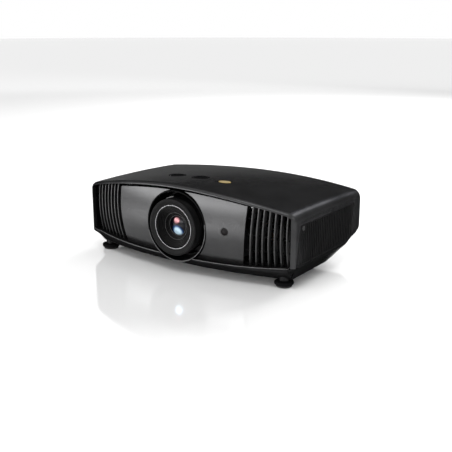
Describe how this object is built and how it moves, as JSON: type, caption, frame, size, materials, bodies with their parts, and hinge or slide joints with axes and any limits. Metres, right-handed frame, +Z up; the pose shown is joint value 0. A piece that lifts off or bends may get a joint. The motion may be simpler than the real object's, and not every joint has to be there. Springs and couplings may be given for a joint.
{
  "type": "home projector",
  "caption": "Wide bowed home-cinema projector case with a centred shifting lens, graphite front panel, ribbed air grilles, rear connector bay and screw feet.",
  "frame": {"origin": "on the table, below the middle of the case", "axes": "+X to the viewer's right, front faces -Y, +Z up"},
  "size_m": [0.4912, 0.3422, 0.174],
  "materials": {
    "matte_black": "fine moulded texture, matte",
    "graphite": "satin graphite, faint upright brushing",
    "gloss_black": "piano gloss",
    "silver_trim": "turned, bright",
    "lens_glass": "coated, blue and pink reflections",
    "filter_glass": "dichroic sectors",
    "lens_black": "satin black",
    "foot_rubber": "dull",
    "brass_disc": "spun, satin",
    "steel": "plated",
    "circuit_board": "solder mask",
    "engine_black": "glass-filled moulding",
    "inner_metal": "milled and pressed",
    "smoked_window": "dark red, clear to infrared"
  },
  "bodies": {
    "case": {"upper_case": "matte_black", "lower_case": "matte_black", "front_panel": "graphite", "front_grille_left": "matte_black", "front_grille_right": "matte_black", "side_grille_left": "matte_black", "lamp_cover": "matte_black", "lamp_cover_screw": "steel", "rear_panel": "matte_black", "lens_surround": "gloss_black", "ir_window": "smoked_window", "top_inlay": "brass_disc", "keypad_board": "circuit_board", "mains_inlet": "gloss_black", "video_socket_1": "steel", "video_socket_2": "steel", "usb_socket": "steel", "network_socket": "steel", "serial_socket": "steel", "audio_jack": "gloss_black", "trigger_jack": "gloss_black", "optical_engine": "engine_black", "lamp_module": "inner_metal", "main_board": "circuit_board", "power_supply": "inner_metal", "chip_heat_sink": "inner_metal", "intake_fan_frame": "matte_black", "exhaust_fan_frame": "matte_black"},
    "shift_carriage": {"shift_plate_vertical": "inner_metal"},
    "lens": {"shift_plate_horizontal": "inner_metal", "lens_barrel": "lens_black"},
    "zoom_ring_body": {"zoom_ring": "lens_black"},
    "focus_ring_body": {"focus_ring": "lens_black", "focus_trim_ring": "silver_trim"},
    "zoom_group_body": {"zoom_group": "lens_glass"},
    "focus_cell_body": {"focus_cell": "lens_black", "front_lens": "lens_glass"},
    "vertical_dial": {"shift_dial_vertical": "matte_black"},
    "horizontal_dial": {"shift_dial_horizontal": "matte_black"},
    "intake_impeller": {"intake_fan": "matte_black"},
    "exhaust_impeller": {"exhaust_fan": "matte_black"},
    "filter_wheel": {"colour_wheel": "filter_glass"},
    "button_rear": {"key_rear": "matte_black"},
    "button_up": {"key_up": "matte_black"},
    "button_front": {"key_front": "matte_black"},
    "button_down": {"key_down": "matte_black"},
    "button_ok": {"key_ok": "matte_black"},
    "button_power": {"key_power": "matte_black"},
    "button_source": {"key_source": "matte_black"},
    "button_menu": {"key_menu": "matte_black"},
    "button_back": {"key_back": "matte_black"},
    "foot_front_left": {"foot_pad_front_left": "foot_rubber"},
    "wheel_front_left": {"foot_wheel_front_left": "matte_black"},
    "foot_front_right": {"foot_pad_front_right": "foot_rubber"},
    "wheel_front_right": {"foot_wheel_front_right": "matte_black"},
    "foot_rear_left": {"foot_pad_rear_left": "foot_rubber"},
    "wheel_rear_left": {"foot_wheel_rear_left": "matte_black"},
    "foot_rear_right": {"foot_pad_rear_right": "foot_rubber"},
    "wheel_rear_right": {"foot_wheel_rear_right": "matte_black"}
  },
  "joints": [
    {"name": "lens_shift_vertical", "type": "slide", "parent": "case", "child": "shift_carriage", "axis": [0, 0, 1], "range_m": [-0.005, 0.005]},
    {"name": "lens_shift_horizontal", "type": "slide", "parent": "shift_carriage", "child": "lens", "axis": [1, 0, 0], "range_m": [-0.0025, 0.0025]},
    {"name": "zoom_ring_turn", "type": "hinge", "parent": "lens", "child": "zoom_ring_body", "pos_m": [0, -0.14255, 0.0908], "axis": [0, -1, 0], "range_deg": [-30, 30]},
    {"name": "focus_ring_turn", "type": "hinge", "parent": "lens", "child": "focus_ring_body", "pos_m": [0, -0.1618, 0.0908], "axis": [0, -1, 0], "range_deg": [-60, 60]},
    {"name": "zoom_group_slide", "type": "slide", "parent": "lens", "child": "zoom_group_body", "axis": [0, -1, 0], "range_m": [-0.004, 0.004]},
    {"name": "focus_cell_slide", "type": "slide", "parent": "lens", "child": "focus_cell_body", "axis": [0, -1, 0], "range_m": [-0.0015, 0.0015]},
    {"name": "vertical_dial_turn", "type": "hinge", "parent": "case", "child": "vertical_dial", "pos_m": [-0.069, -0.0645, 0.155], "axis": [0, 0, 1], "range_deg": [-180, 180]},
    {"name": "horizontal_dial_turn", "type": "hinge", "parent": "case", "child": "horizontal_dial", "pos_m": [-0.0109, -0.0645, 0.155], "axis": [0, 0, 1], "range_deg": [-180, 180]},
    {"name": "intake_fan_spin", "type": "hinge", "parent": "case", "child": "intake_impeller", "pos_m": [-0.2254, -0.052, 0.0743], "axis": [1, 0, 0], "continuous": true},
    {"name": "exhaust_fan_spin", "type": "hinge", "parent": "case", "child": "exhaust_impeller", "pos_m": [0.192, -0.088, 0.0624], "axis": [0, -1, 0], "continuous": true},
    {"name": "colour_wheel_spin", "type": "hinge", "parent": "case", "child": "filter_wheel", "pos_m": [0.1053, 0.006, 0.0534], "axis": [1, 0, 0], "continuous": true},
    {"name": "key_rear_press", "type": "slide", "parent": "case", "child": "button_rear", "axis": [1, 0, 0], "range_m": [0, 0.0008], "stiffness_N_per_m": 1200, "springref_m": -0.0004},
    {"name": "key_up_press", "type": "slide", "parent": "case", "child": "button_up", "axis": [1, 0, 0], "range_m": [0, 0.0008], "stiffness_N_per_m": 1200, "springref_m": -0.0004},
    {"name": "key_front_press", "type": "slide", "parent": "case", "child": "button_front", "axis": [1, 0, 0], "range_m": [0, 0.0008], "stiffness_N_per_m": 1200, "springref_m": -0.0004},
    {"name": "key_down_press", "type": "slide", "parent": "case", "child": "button_down", "axis": [1, 0, 0], "range_m": [0, 0.0008], "stiffness_N_per_m": 1200, "springref_m": -0.0004},
    {"name": "key_ok_press", "type": "slide", "parent": "case", "child": "button_ok", "axis": [1, 0, 0], "range_m": [0, 0.0008], "stiffness_N_per_m": 1200, "springref_m": -0.0004},
    {"name": "key_power_press", "type": "slide", "parent": "case", "child": "button_power", "axis": [1, 0, 0], "range_m": [0, 0.0008], "stiffness_N_per_m": 1200, "springref_m": -0.0004},
    {"name": "key_source_press", "type": "slide", "parent": "case", "child": "button_source", "axis": [1, 0, 0], "range_m": [0, 0.0008], "stiffness_N_per_m": 1200, "springref_m": -0.0004},
    {"name": "key_menu_press", "type": "slide", "parent": "case", "child": "button_menu", "axis": [1, 0, 0], "range_m": [0, 0.0008], "stiffness_N_per_m": 1200, "springref_m": -0.0004},
    {"name": "key_back_press", "type": "slide", "parent": "case", "child": "button_back", "axis": [1, 0, 0], "range_m": [0, 0.0008], "stiffness_N_per_m": 1200, "springref_m": -0.0004},
    {"name": "foot_front_left_height", "type": "slide", "parent": "case", "child": "foot_front_left", "axis": [0, 0, -1], "range_m": [0, 0.012]},
    {"name": "foot_front_left_turn", "type": "hinge", "parent": "foot_front_left", "child": "wheel_front_left", "pos_m": [-0.213, -0.113, 0.007], "axis": [0, 0, -1], "range_deg": [0, 2880]},
    {"name": "foot_front_right_height", "type": "slide", "parent": "case", "child": "foot_front_right", "axis": [0, 0, -1], "range_m": [0, 0.012]},
    {"name": "foot_front_right_turn", "type": "hinge", "parent": "foot_front_right", "child": "wheel_front_right", "pos_m": [0.213, -0.113, 0.007], "axis": [0, 0, -1], "range_deg": [0, 2880]},
    {"name": "foot_rear_left_height", "type": "slide", "parent": "case", "child": "foot_rear_left", "axis": [0, 0, -1], "range_m": [0, 0.012]},
    {"name": "foot_rear_left_turn", "type": "hinge", "parent": "foot_rear_left", "child": "wheel_rear_left", "pos_m": [-0.165, 0.058, 0.007], "axis": [0, 0, -1], "range_deg": [0, 2880]},
    {"name": "foot_rear_right_height", "type": "slide", "parent": "case", "child": "foot_rear_right", "axis": [0, 0, -1], "range_m": [0, 0.012]},
    {"name": "foot_rear_right_turn", "type": "hinge", "parent": "foot_rear_right", "child": "wheel_rear_right", "pos_m": [0.165, 0.058, 0.007], "axis": [0, 0, -1], "range_deg": [0, 2880]}
  ],
  "couplings": [
    {"joint": "vertical_dial_turn", "follows": "lens_shift_vertical", "rad_per_m": 628.31},
    {"joint": "horizontal_dial_turn", "follows": "lens_shift_horizontal", "rad_per_m": 1256.6},
    {"joint": "zoom_group_slide", "follows": "zoom_ring_turn", "m_per_rad": 0.007639},
    {"joint": "focus_cell_slide", "follows": "focus_ring_turn", "m_per_rad": 0.001432},
    {"joint": "foot_front_left_turn", "follows": "foot_front_left_height", "rad_per_m": 4188.7},
    {"joint": "foot_front_right_turn", "follows": "foot_front_right_height", "rad_per_m": 4188.7},
    {"joint": "foot_rear_left_turn", "follows": "foot_rear_left_height", "rad_per_m": 4188.7},
    {"joint": "foot_rear_right_turn", "follows": "foot_rear_right_height", "rad_per_m": 4188.7}
  ]
}
